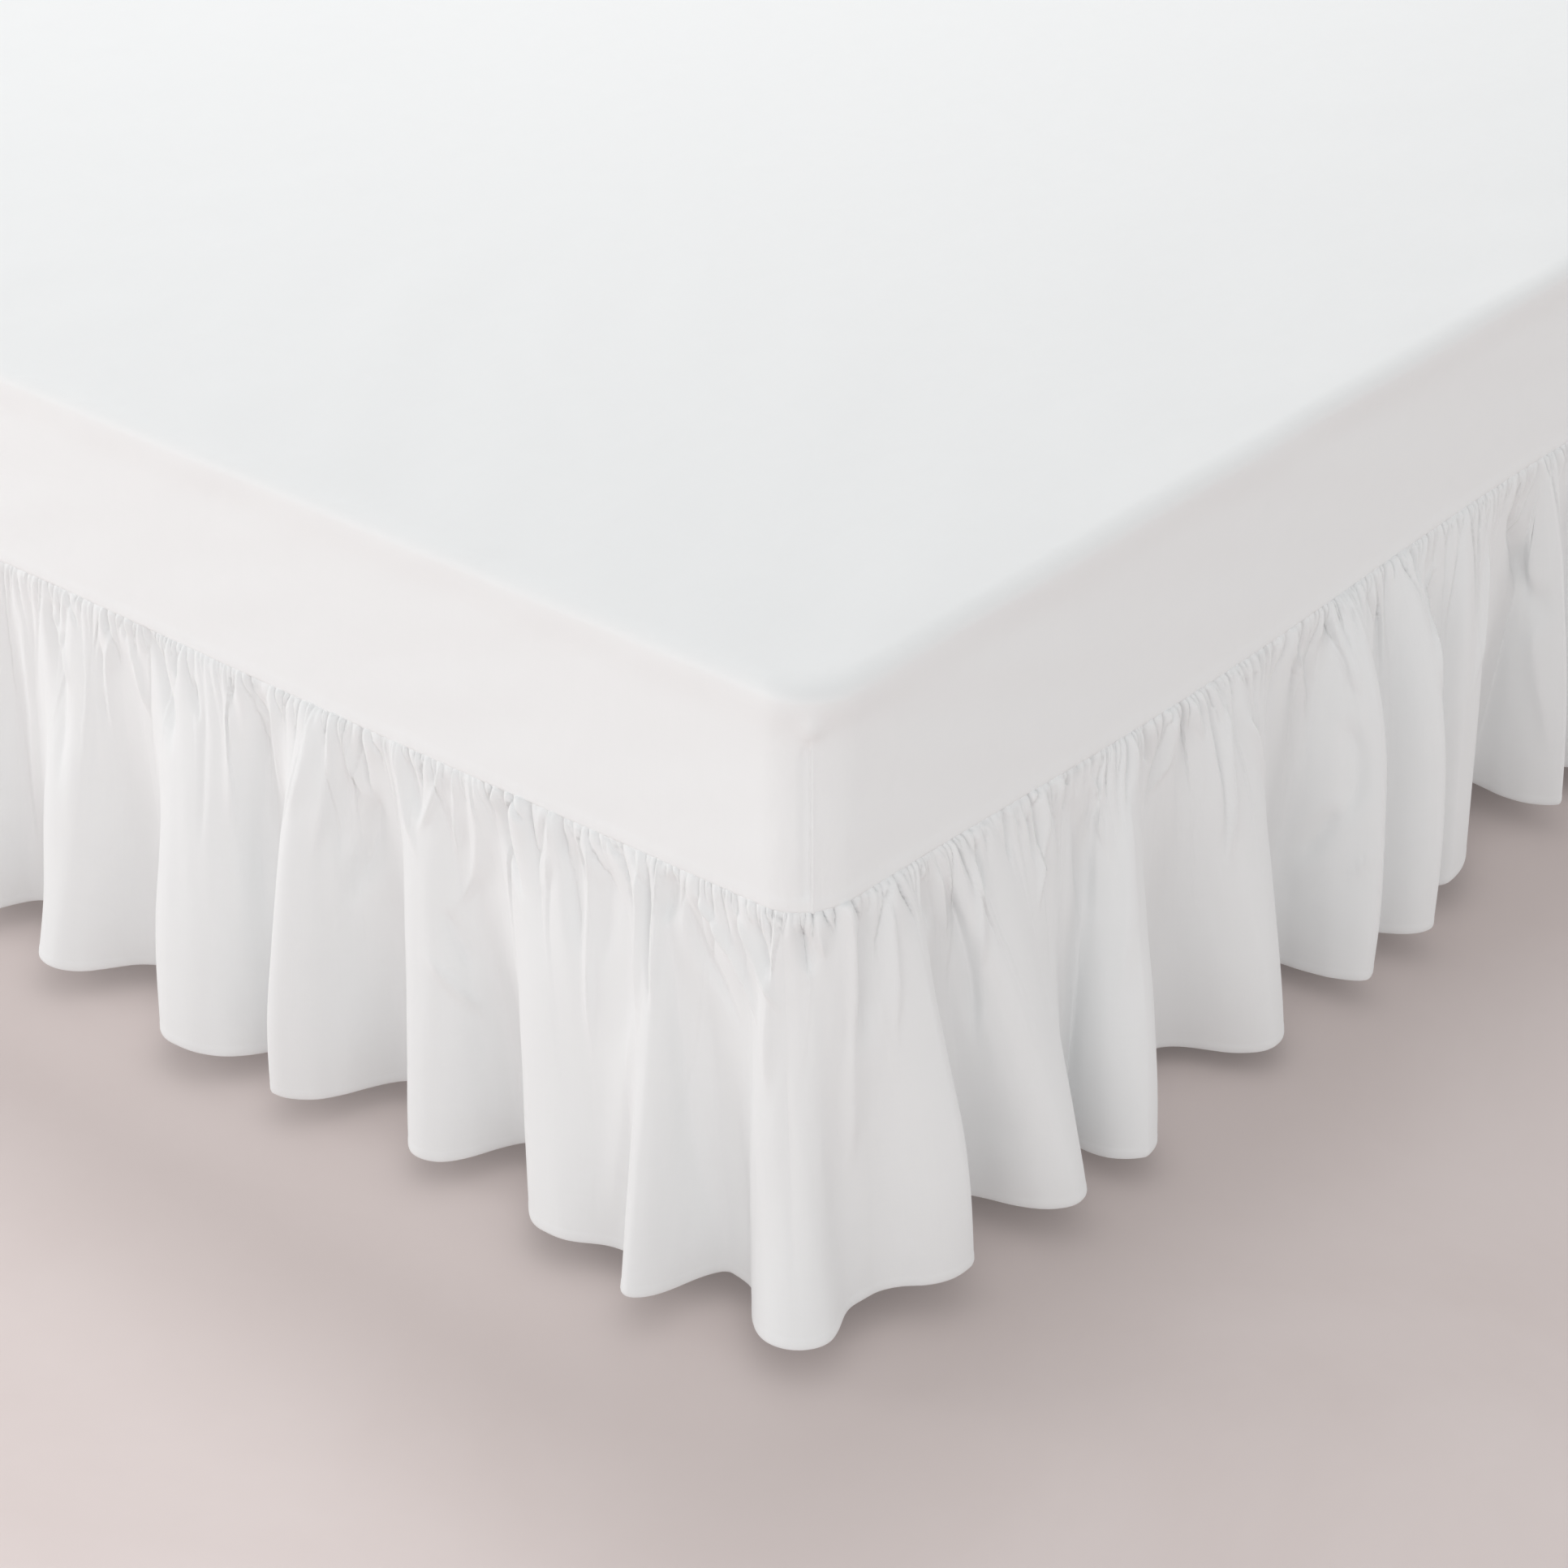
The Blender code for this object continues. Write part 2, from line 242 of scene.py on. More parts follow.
def percale(name, white, shade):
    look = cottonLook
    material, shader = newMaterial(name, white, look["roughness"])
    shader.inputs["Sheen Weight"].default_value = look["sheen"]
    shader.inputs["Sheen Roughness"].default_value = look["sheenRoughness"]
    shader.inputs["Specular IOR Level"].default_value = look["specular"]
    cloth = addNode(material, "ShaderNodeUVMap", uv_map="cloth").outputs["UV"]
    warp = threads(material, cloth, look["threadPitch"], "X")
    weft = threads(material, cloth, look["threadPitch"], "Y")
    weave = combine(material, "MULTIPLY", warp, weft)

    # thick and thin threads, as long faint streaks both ways
    across, along = look["slubScale"]
    slubs = []
    for scale in ((across, along, 1.0), (along, across, 1.0)):
        streaks = scaledCoordinates(material, cloth, scale)
        slubs.append(addNoise(material, streaks, Scale=1.0, Detail=2.0))
    slub = combine(material, "ADD", *slubs)

    # creases too small to shape, softened by washing; the colour is also darker in their hollows, a
    # painted shade
    crumple = addNoise(
        material, cloth, Scale=look["crumpleScale"], Detail=3.0, Roughness=0.45, Distortion=0.6
    )

    # the tone is darker in thin threads, and darker in the hollows of the small creases as painted
    # shade
    tone = combine(material, "MULTIPLY", combine(material, "ADD", slub, crumple), look["toneGain"])
    link(material, mixColours(material, tone, shade, white), shader.inputs["Base Color"])

    heights = []
    for relief, most in ((weave, "threadHeight"), (slub, "slubHeight"), (crumple, "crumpleHeight")):
        heights.append(combine(material, "MULTIPLY", relief, look[most]))
    height = combine(material, "ADD", heights[0], combine(material, "ADD", heights[1], heights[2]))
    addBump(material, shader, height, Distance=1.0)
    return material


mattressLook = {
    "light": (0.80, 0.79, 0.76),
    "dark": (0.66, 0.65, 0.62),
    "pitch": 0.0011,
    "threadHeight": 0.3,  # in pitches
    "fleckScale": 700.0,
    "toneGain": 0.5,
    "roughness": 0.9,
}

baseLook = {
    "light": (0.60, 0.58, 0.55),
    "dark": (0.40, 0.385, 0.36),
    "pitch": 0.0016,
    "threadHeight": 0.3,
    "fleckScale": 700.0,
    "toneGain": 0.5,
    "roughness": 0.92,
}


def wovenCover(name, look):
    # a coarser woven cloth on object coordinates, for the pieces under the cotton
    material, shader = newMaterial(name, look["light"], look["roughness"])
    place = addNode(material, "ShaderNodeTexCoord").outputs["Object"]
    alongX, alongY, alongZ = (threads(material, place, look["pitch"], axis) for axis in "XYZ")
    weave = combine(material, "MULTIPLY", combine(material, "ADD", alongX, alongY), alongZ)
    fleck = addNoise(material, place, Scale=look["fleckScale"], Detail=2.0)
    tone = combine(material, "MULTIPLY", combine(material, "ADD", weave, fleck), look["toneGain"])
    colour = mixColours(material, tone, look["dark"], look["light"])
    link(material, colour, shader.inputs["Base Color"])
    height = combine(material, "MULTIPLY", weave, look["threadHeight"] * look["pitch"])
    addBump(material, shader, height, Distance=1.0)
    return material


footLook = {
    "black": (0.035, 0.035, 0.037),
    "roughness": 0.5,
    "grainScale": 900.0,
    "grainHeight": 0.0001,
    "smoothest": 0.38,
    "grainRoughness": 0.25,  # how much rougher the grain's high spots are
}


def mouldedPlastic():
    look = footLook
    material, shader = newMaterial("black moulded foot", look["black"], look["roughness"])
    place = addNode(material, "ShaderNodeTexCoord").outputs["Object"]
    grain = addNoise(material, place, Scale=look["grainScale"], Detail=2.0)
    rough = combine(material, "MULTIPLY_ADD", grain, look["grainRoughness"])
    rough.node.inputs[2].default_value = look["smoothest"]
    link(material, rough, shader.inputs["Roughness"])
    addBump(material, shader, grain, Distance=look["grainHeight"], Strength=0.5)
    return material


floorLook = {
    "dark": (0.465, 0.398, 0.380),
    "light": (0.590, 0.538, 0.528),
    "glow": (1.0, 0.885, 0.865),  # painted light: the floor glows in this colour though it is no lamp, so that little shade gathers under the hem
    # half the width and length of a box on the floor, which ends at the side hems and
    # 7 cm past the foot's; the distances under it are measured outwards from its edge
    "hemBox": (0.98, 1.12),
    "cornerRound": 0.3,
    "glowBeside": 0.142,  # painted light: how strongly the floor glows at the box
    "glowGain": 0.123,  # and how much more away from it, so the floor beside the bed is darker, a painted shade
    "glowReach": 0.28,
    "glowUnder": 0.045,  # painted light added under the frill, to lift the shade there
    "underFrom": -0.07,
    "underTo": 0.05,
    "glowLoss": 0.43,  # painted light: share of the glow lost from the left front to the right, as if the floor were lit from the left
    "lossFrom": -1.0,  # x + y
    "lossTo": 0.4,
    "shareInPaintedShade": 0.5,  # painted shade: share of the light colour kept at the box, so the floor beside the bed is darker and browner
    "cloudScale": 2.4,
    "roughness": 0.62,
}


def eased(material, value, start, stop):
    # 0 at start and 1 at stop, with a smooth change between
    node = addNode(material, "ShaderNodeMapRange", interpolation_type="SMOOTHSTEP")
    link(material, value, node.inputs["Value"])
    node.inputs["From Min"].default_value = start
    node.inputs["From Max"].default_value = stop
    return node.outputs["Result"]


def studioFloor():
    look = floorLook
    material, shader = newMaterial("pale floor with painted light and shade", look["light"], look["roughness"])
    place = addNode(material, "ShaderNodeTexCoord").outputs["Object"]
    cloud = addNoise(
        material, place, Scale=look["cloudScale"], Detail=5.0, Roughness=0.6, Distortion=0.4
    )
    axes = addNode(material, "ShaderNodeSeparateXYZ")
    link(material, place, axes.inputs[0])

    past = []
    for axis, half in zip(axes.outputs, look["hemBox"]):
        past.append(combine(material, "SUBTRACT", combine(material, "ABSOLUTE", axis, 0), half))
    past = combine(material, "SMOOTH_MAX", *past)
    past.node.inputs[2].default_value = look["cornerRound"]
    # painted shade: the glow grows away from the box, so the floor is darker beside the bed
    away = eased(material, past, 0, look["glowReach"])
    # painted light under the frill
    inside = eased(material, past, look["underTo"], look["underFrom"])
    under = combine(material, "MULTIPLY", inside, look["glowUnder"])

    # painted light: the glow fades from the left front to the right
    rightward = combine(material, "ADD", axes.outputs[0], axes.outputs[1])
    lost = eased(material, rightward, look["lossFrom"], look["lossTo"])
    loss = combine(material, "MULTIPLY", lost, look["glowLoss"])
    glow = combine(material, "MULTIPLY", away, look["glowGain"])
    glow = combine(material, "ADD", glow, look["glowBeside"])
    glow = combine(material, "ADD", glow, under)
    glow = combine(material, "MULTIPLY", glow, combine(material, "SUBTRACT", 1, loss))

    # painted shade: the floor's colour is darker and browner beside the bed
    unshaded = combine(material, "MULTIPLY", away, 1 - look["shareInPaintedShade"])
    unshaded = combine(material, "ADD", unshaded, look["shareInPaintedShade"])
    tone = combine(material, "MULTIPLY", cloud, unshaded)
    colour = mixColours(material, tone, look["dark"], look["light"])
    link(material, colour, shader.inputs["Base Color"])
    # painted light: the floor glows though it is no lamp
    shader.inputs["Emission Color"].default_value = (*look["glow"], 1)
    link(material, glow, shader.inputs["Emission Strength"])
    return material


cotton = percale("white percale", cottonLook["white"], cottonLook["shade"])
frillCotton = percale(
    "white percale, one layer", cottonLook["singleWhite"], cottonLook["singleShade"]
)
print("materials ready")


# Frill

# The folds round the photographed corner, in millimetres along the frill from the
# corner, less than 0 on the foot: where each starts at the seam, where its crest
# reaches the hem, how far it stands out there, the shape of the slopes before and
# after it, the hollow after it, how far the slope before it is pulled over the
# hollow, and how soon below the seam it stands out (less than 1 for only near the hem).
cornerFolds = (
    # seam    hem   out  rise  fall  valley back  curl flare
    (-1000, -1020, 62, 1.0, 1.0, -965, -10, 0, 1.5),
    (-855, -874, 66, 1.0, 1.0, -785, -8, 0, 1.0),
    (-717, -686, 82, 1.0, 2.2, -602, -5, 0, 1.3),
    (-548, -556, 75, 0.9, 1.1, -470, -32, 0, 2.0),
    (-425, -393, 56, 1.0, 1.3, -332, -27, 0, 1.0),
    (-297, -236, 64, 1.0, 1.0, -154, 38, 0, 1.0),
    (-152, -116, 90, 1.0, 1.0, -77, 1, 0, 1.0),
    (-24, -6, 76, 0.58, 0.9, 29, 24, 0, 0.55),
    (92, 112, 68, 1.1, 1.0, 179, -15, 0, 1.8),
    (168, 246, 84, 1.0, 1.0, 330, 2, 0, 1.2),
    (395, 345, 85, 1.0, 1.0, 459, -20, -14, 1.4),
    (507, 564, 74, 0.65, 1.0, 676, -25, 0, 1.4),
    (735, 706, 83, 0.9, 1.0, 764, 22, 0, 3.0),
    (840, 814, 83, 1.0, 1.0, 862, 8, 0, 2.6),
    (935, 904, 47, 1.0, 1.0, 1082, -40, 0, 2.4),
    (1098, 1101, 57, 1.0, 1.0, 1150, -14, -8, 2.0),
)

frill = {
    "drop": 0.378,
    "widths": 4,
    "columns": 1150,  # in each width
    "seamRows": (-0.004, -0.0012, 0.0003),  # depths of the rows at the seam
    "topRowStep": 0.0018,
    "rowGrowth": 0.023,
    "lastRowGap": 0.006,
    "stitchRows": (0.0025, 0.0008),  # from the hem's stitching, both ways
    "edgeRow": 0.0006,  # from the hem's edge
    "heading": 0.010,
    "headingSet": -0.0008,
    "tuck": 1.3,
    "lean": 0.8,
    "flankSteepness": 0.3,
    "puff": 0.0020,
    "puffDepth": 0.012,
    "hemBand": 0.009,
    "hemThickness": 0.0003,
    "hemRound": 0.0010,
    "freeFrom": 0.004,  # where the cloth under the seam starts to ripple
    "freeTo": 0.05,
    # seed, count, shortest, longest and stretch of the ripples, and their height
    "softRipples": (31, 14, 0.07, 0.20, 2.2),
    "softHeight": 0.0020,
    "smallRipples": (51, 16, 0.025, 0.06, 3.0),
    "smallHeight": 0.0006,
    # folds away from the photographed corner, in millimetres
    "pitch": (118, 186),
    "crest": (54, 80),
    "valley": (-32, 12),
    "leaning": (-45, 45),
    "slopes": (0.75, 1.5),
    "valleyPlace": 0.52,
    "flare": 2.1,
    "firstHollow": 62,  # from the first placed crest back to the hollow before it
    "seed": 11,
}

# The gathers are rounded ridges between pinched slits. Fine ones under the seam
# run together into wider ones lower down. In millimetres, or shares of a ridge's width.
gathers = (
    # split: how many ridges each wider one is divided into, reach: how far down they last,
    # proud: how far they stand out, full: the depth where they are fullest, pinch: how
    # round they are (less is rounder), kept: their share beside the photographed corner,
    # on the foot and on the side
    {
        "pitch": (30, 58), "reach": (80, 210), "proud": (0.07, 0.20),
        "full": 40, "pinch": 1.1, "kept": (0.25, 0.4),
    },
    {
        "split": (2, 3), "reach": (32, 100), "proud": (0.14, 0.34),
        "full": 12, "pinch": 0.85, "kept": (0.6, 0.95),
    },
    {
        "split": (2, 3), "reach": (10, 36), "proud": (0.25, 0.66),
        "full": 3, "pinch": 0.65, "kept": (1.05, 1.35),
    },
)

slits = {
    "seedStep": 5,
    "before": 40,  # how far the row of slits reaches past both ends of the frill
    "past": 80,
    "lean": 0.05,
    "bow": 0.00022,
    "farOff": -1e5,
    "stray": 0.28,  # from an even share of the wider ridge
    "joining": 0.75,  # how much of the way to the next slit a finer one runs
    "joinDepth": 1.5,
    "strengths": (0.35, 0.8, 1, 1.25),
    "footPart": (-960, -120),  # the stretches of seam beside the photographed corner
    "sidePart": (-120, 1130),
    "widest": 60,
    "pinchGrowth": 0.006,
    "settled": 0.6,  # how much of a ridge lies under the cloth's own surface
    "atSeam": (0.45, 0.55),  # share of the height at the seam, and what is gained below it
}


def furtherFolds(start, stop, rng):
    # the solid frill draws its other folds in the same order from the same seed
    rows = []
    length = stop - start
    count = max(1, round(length / (sum(frill["pitch"]) / 2)))
    pitches = [rng.uniform(*frill["pitch"]) for _ in range(count)]
    stretch = length / sum(pitches)
    at = start
    for pitch in pitches:
        pitch *= stretch
        hem = at + (1 - frill["valleyPlace"]) * pitch
        seam = hem + rng.uniform(*frill["leaning"])
        out = rng.uniform(*frill["crest"])
        rise = rng.uniform(*frill["slopes"])
        fall = rng.uniform(*frill["slopes"])
        back = rng.uniform(*frill["valley"])
        rows.append((seam, hem, out, rise, fall, at + pitch, back, 0, frill["flare"]))
        at += pitch
    return rows


def foldStations():
    # crests and hollows in turn, as (seam place, hem place, out, slope, curl, flare)
    rng = random.Random(frill["seed"])
    right = 1000 * (bed["arc"] / 2 + bed["sideRun"])
    left = -1000 * (bed["arc"] * 1.5 + bed["footRun"] + bed["sideRun"])
    first = cornerFolds[0][1] - frill["firstHollow"]
    rows = furtherFolds(left, first, rng)
    rows += [*cornerFolds, *furtherFolds(cornerFolds[-1][5], right, rng)]
    stations = [(left, left, 0, 1, rows[0][7], rows[0][8])]
    for index, (seam, hem, out, rise, fall, valley, back, curl, flare) in enumerate(rows):
        stations.append((seam, hem, out, fall, 0, flare))
        if index + 1 < len(rows):
            following = rows[index + 1]
            share = (valley - hem) / (following[1] - hem)
            valleySeam = seam + (following[0] - seam) * share
            between = (flare + following[8]) / 2
            stations.append((valleySeam, valley, back, following[3], following[7], between))
    stations.append((right, right, 0, 1, 0, 2))
    return np.array(stations) * (mm, mm, mm, 1, mm, 1)


def frillColumns(stations, ends, finest=40):
    # fine places between stations, then evened out along the cloth within each width
    seam, hem, out, flare = [], [], [], []
    for here, following in zip(stations, stations[1:]):
        t = np.arange(finest) / finest
        rounded = (1 - np.cos(math.pi * t)) / 2
        crowded = t + frill["flankSteepness"] * np.sin(2 * math.pi * t) / (2 * math.pi)
        if following[2] > here[2]:
            placed = crowded ** here[3]
        else:
            placed = 1 - (1 - crowded) ** here[3]
        seam.append(here[0] + (following[0] - here[0]) * t)
        curled = here[4] * np.sin(math.pi * t) ** 2
        hem.append(here[1] + (following[1] - here[1]) * placed + curled)
        out.append(here[2] + (following[2] - here[2]) * rounded)
        flare.append(here[5] + (following[5] - here[5]) * t)
    last = stations[-1]
    seam, hem, out, flare = (
        np.append(np.concatenate(parts), end)
        for parts, end in ((seam, last[0]), (hem, last[1]), (out, last[2]), (flare, last[5]))
    )
    x, y, nx, ny = edgeLine(hem)
    steps = np.hypot(np.diff(x + nx * out), np.diff(y + ny * out))
    run = np.concatenate(([0], np.cumsum(steps)))
    length = run + (seam - seam[0])
    even = []
    for start, stop in zip(ends, ends[1:]):
        bounds = length[start * finest], length[stop * finest]
        even.append(np.linspace(*bounds, frill["columns"], endpoint=False))
    even.append([length[-1]])
    even = np.concatenate(even)
    return [np.interp(even, length, values) for values in (seam, hem, out, flare, run)]


def frillRows():
    # depths under the seam, close together at the seam, the hem's stitching and its edge
    depths = [-frill["heading"], *frill["seamRows"]]
    stitch = frill["drop"] - frill["hemBand"]
    while depths[-1] < stitch - frill["lastRowGap"]:
        depths.append(depths[-1] + frill["topRowStep"] + frill["rowGrowth"] * depths[-1])
    wide, close = frill["stitchRows"]
    depths[-1] = stitch - wide
    depths += [stitch - close, stitch + close, stitch + wide]
    depths += [frill["drop"] - wide, frill["drop"] - frill["edgeRow"], frill["drop"]]
    return np.array(depths)


def firstSlits(seam, depth, pitch, rng):
    # where each slit between the widest ridges lies, at each depth
    places = []
    at = seam[0] - slits["before"]
    while at < seam[-1] + slits["past"]:
        lean, bow = rng.gauss(0, slits["lean"]), rng.gauss(0, slits["bow"])
        places.append(at + lean * depth + bow * depth ** 2)
        at += rng.uniform(*pitch)
    return [np.full(len(depth), slits["farOff"])] + places


def finerSlits(places, depth, order, rng):
    # further slits between those of the wider ridges, which run into them lower down
    finer = []
    for before, after in zip(places, places[1:]):
        finer.append(before)
        pieces = rng.randint(*order["split"])
        for piece in range(1, pieces):
            share = (piece + rng.uniform(-slits["stray"], slits["stray"])) / pieces
            joinedBy = rng.uniform(*order["reach"]) * slits["joinDepth"]
            joins = slits["joining"] * step(depth, 0, joinedBy)
            share = share + (round(share) - share) * joins
            finer.append(before + (after - before) * share)
    return finer + [places[-1]]


def within(values, part):
    return (values >= part[0]) & (values < part[1])


def gatherRelief(seam, depth):
    seam = seam * 1000
    depth = np.maximum(depth, 0) * 1000
    rng = random.Random(frill["seed"] + slits["seedStep"])
    relief = np.zeros((len(seam), len(depth)))
    rows = None
    for order in gathers:
        if rows is None:
            rows = firstSlits(seam, depth, order["pitch"], rng)
        else:
            rows = finerSlits(rows, depth, order, rng)
        places = np.array(rows)
        ridges = len(rows) - 1
        proud = []
        for _ in range(ridges):
            proud.append(rng.uniform(*order["proud"]) * rng.choice(slits["strengths"]))
        # beside the photographed corner the wider ones are placed one by one below
        onFoot = within(places[:-1, 0], slits["footPart"])
        onSide = within(places[:-1, 0], slits["sidePart"])
        kept = np.where(onFoot, order["kept"][0], np.where(onSide, order["kept"][1], 1))
        proud = np.array(proud) * kept
        reach = np.array([rng.uniform(*order["reach"]) for _ in range(ridges)])
        for row, deep in enumerate(depth):
            which = np.clip(np.searchsorted(places[:, row], seam) - 1, 0, ridges - 1)
            width = places[which + 1, row] - places[which, row]
            share = np.clip((seam - places[which, row]) / width, 0, 1)
            pinch = order["pinch"] + slits["pinchGrowth"] * deep
            ridge = np.sin(math.pi * share) ** pinch - slits["settled"]
            height = proud[which] * np.minimum(width, slits["widest"]) * ridge
            atSeam, gained = slits["atSeam"]
            fade = np.exp(-(deep / reach[which]) ** 2)
            height *= fade * (atSeam + gained * step(deep, 0, order["full"]))
            relief[:, row] += height
    return relief * mm


# Creases beside the photographed corner, in millimetres: where each starts, as a place
# on the seam and a depth under it, where it ends, how far it bows between, its half
# width, and how far it stands out, less than 0 for a trough
creases = (
    # seam depth  seam depth  bow wide proud
    (-936, 44, -954, 352, 12, 14, 6), (-899, 10, -861, 190, 8, 14, -7),
    (-894, 16, -858, 92, 3, 5, 3.5), (-870, 2, -852, 30, 0, 3, -3),
    (-818, 0, -814, 24, 0, 3, -3.5), (-795, 0, -792, 22, 0, 3, -3.5),
    (-808, 22, -815, 116, -8, 6, 3), (-826, 36, -820, 116, 0, 5, -3),
    (-764, 0, -725, 94, 4, 12, -9), (-787, 24, -775, 90, 0, 6, 4),
    (-725, 4, -722, 32, 0, 3, -3), (-701, 28, -695, 60, 0, 3.5, -3),
    (-657, 24, -666, 148, 0, 8, 4), (-688, 40, -693, 170, 0, 5, -2),
    (-631, 0, -619, 40, 0, 4, -4), (-619, 30, -642, 238, -6, 18, -9),
    (-596, 10, -605, 116, 0, 8, 4), (-548, 2, -548, 100, 3, 7, 4),
    (-523, 4, -530, 134, 0, 7, 4.5), (-510, 54, -516, 138, 0, 10, -4),
    (-512, 0, -497, 72, -2, 6, 4.5), (-489, 0, -490, 68, -2, 3, -5),
    (-485, 68, -510, 178, 0, 14, -9),

    (-448, 0, -427, 92, -4, 6, 4), (-435, 8, -425, 60, 0, 8, -5),
    (-394, 4, -424, 70, 0, 5, 3.5), (-379, 2, -394, 84, 0, 4.5, 4),
    (-361, 8, -403, 138, 14, 9, 5), (-331, 4, -310, 84, -8, 9, -8),
    (-313, 2, -300, 18, 0, 3, -4), (-406, 140, -394, 194, 0, 10, -4),
    (-417, 184, -389, 242, 0, 7, 3.5), (-267, 2, -282, 66, 0, 5, 3.5),
    (-257, 0, -261, 38, 0, 3, -4.5), (-277, 6, -292, 52, 0, 3.5, -3),
    (-249, 16, -249, 110, -2, 11, -5), (-226, 14, -238, 190, -3, 5.5, 4),
    (-209, 30, -219, 112, 0, 10, -3), (-207, 0, -196, 14, 0, 3, -3),
    (-196, 2, -187, 30, 0, 3, -3.5), (-170, 8, -173, 142, 0, 6, 4.5),
    (-162, 12, -156, 122, -3, 3, -5), (-148, 4, -150, 124, -4, 5, 4),
    (-137, 8, -145, 52, 0, 8, -8), (-141, 50, -116, 330, 4, 20, -7),
    (-186, 158, -223, 360, 0, 18, 4),

    (-110, 16, -53, 106, 3, 7, 4.5), (-122, 20, -82, 122, -8, 8, -4),
    (-71, 14, -30, 84, -2, 6, 4), (-50, 18, -36, 60, 0, 6, -4), (-28, 16, -41, 160, -4, 10, 5),
    (-10, 14, -4, 54, 0, 6, -5), (0, 2, 6, 40, 0, 4, 3), (28, 6, 20, 130, 2, 5, 4.5),
    (20, 120, 14, 236, 0, 7, 3), (47, 14, 32, 136, -2, 12, -5), (70, 14, 58, 134, 2, 5, 3.5),
    (120, 20, 124, 74, 0, 7, -5), (136, 20, 139, 92, 0, 4.5, 4), (145, 46, 145, 196, 2, 8, -7),
    (174, 24, 152, 130, -2, 5, 3.5), (184, 14, 171, 60, 0, 3.5, -4),
    (230, 0, 219, 50, 0, 3.5, -4), (280, 18, 248, 102, 6, 5, 3.5),
    (258, 18, 255, 64, 0, 3.5, -3), (332, 38, 365, 144, 0, 13, -5), (354, 20, 378, 88, 2, 5, 4),
    (394, 58, 384, 222, 0, 9, 3.5),

    (426, 4, 443, 46, 0, 3.5, -3.5), (460, 2, 448, 80, 4, 7, 4), (493, 6, 496, 42, 0, 4, 3),
    (513, 10, 494, 160, 4, 5, -5.5), (537, 24, 496, 170, -6, 7, 4),
    (561, 54, 585, 130, 0, 7, 4), (579, 66, 603, 134, 0, 8, -6), (666, 24, 697, 106, 2, 5, 3.5),
    (713, 18, 724, 88, 3, 5, 4), (718, 120, 716, 212, 3, 10, -4.5),
    (713, 204, 704, 262, 0, 10, -4), (726, 248, 719, 268, 0, 3, 2),
    (777, 20, 794, 72, 0, 3.5, -3.5), (852, 4, 853, 38, 0, 6, -6),
    (895, 40, 851, 142, -20, 5, 4), (987, 60, 952, 188, 4, 6, 4),
    (1048, 46, 1090, 195, 16, 12, -7), (1089, 95, 1094, 310, 0, 9, 4),
)

creaseShape = {
    "corner": -120,  # the place on the seam that parts the foot's creases from the side's
    "foot": 1.25,  # how much prouder they are made than listed
    "side": 1.55,
    "ends": (0.55, 0.45),  # share of the width at both ends, and what is gained between
    "roundness": 1.7,
    # shares of the length over which a crease rises and fades: before and after each end
    "rising": (0.15, 0.2),
    "fading": (0.35, 0.12),
}


def creaseRelief(seam, cloth, depth):
    shape = creaseShape
    relief = np.zeros((len(seam), len(depth)))
    down = np.clip(depth / frill["drop"], 0, 1)[None, :]
    across = seam[:, None] * (1 - down) + cloth[:, None] * down
    deep = depth / mm
    for seam0, depth0, seam1, depth1, bow, wide, proud in creases:
        run = depth1 - depth0
        inside = np.clip((deep - depth0) / run, 0, 1)
        centre = (seam0 + (seam1 - seam0) * inside + bow * np.sin(math.pi * inside)) * mm
        middle = centre * (1 - down[0]) + np.interp(centre, seam, cloth) * down[0]
        least, gained = shape["ends"]
        widening = least + gained * np.sin(math.pi * np.clip(inside, 0.1, 0.9))
        away = (across - middle[None, :]) / (wide * mm * widening)[None, :]
        before, after = shape["rising"]
        ends = step(deep, depth0 - before * run, depth0 + after * run)
        before, after = shape["fading"]
        ends = ends * (1 - step(deep, depth1 - before * run, depth1 + after * run))
        prouder = shape["foot"] if seam0 < shape["corner"] else shape["side"]
        bulge = np.exp(-np.abs(away) ** shape["roundness"])
        relief += prouder * proud * mm * bulge * ends[None, :]
    return relief


